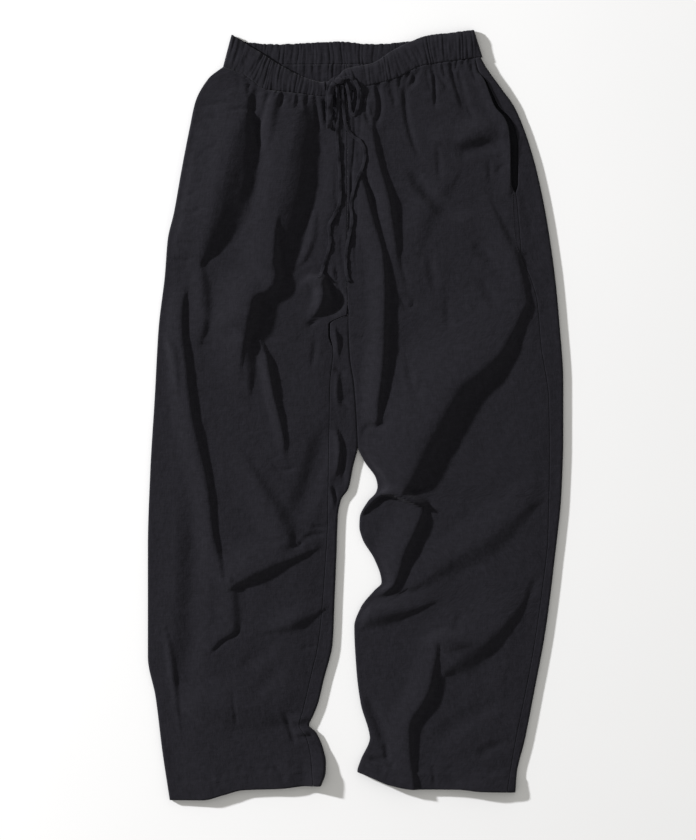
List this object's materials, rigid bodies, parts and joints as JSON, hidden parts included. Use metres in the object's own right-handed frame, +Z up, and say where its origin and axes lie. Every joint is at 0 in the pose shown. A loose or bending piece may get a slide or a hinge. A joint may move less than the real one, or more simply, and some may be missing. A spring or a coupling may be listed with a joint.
{
  "type": "linen pants",
  "caption": "Loose straight-leg pull-on pants in dark linen, with a gathered elastic waist, a side pocket and a tied drawstring, laid flat and face up.",
  "frame": {"origin": "centre of the pants' outline seen from above, on the surface that they lie on", "axes": "+Z up from the surface, +Y towards the waist, +X towards the wearer's left leg"},
  "size_m": [0.5395, 1, 0.0216],
  "materials": {
    "linen": "matt plain-woven linen, bluish black",
    "pocket_cloth": "matt plain-woven cloth, darker for lying inside",
    "drawstring": "matt linen cord, flattened"
  },
  "bodies": {
    "root": {"right_front": "linen", "left_front": "linen", "right_back": "linen", "left_back": "linen", "waistband_front": "linen", "waistband_back": "linen", "left_pocket_bag": "pocket_cloth", "tie_knot": "drawstring", "tie_right_loop": "drawstring", "tie_left_loop": "drawstring", "tie_right_end": "drawstring", "tie_left_end": "drawstring"}
  },
  "joints": []
}
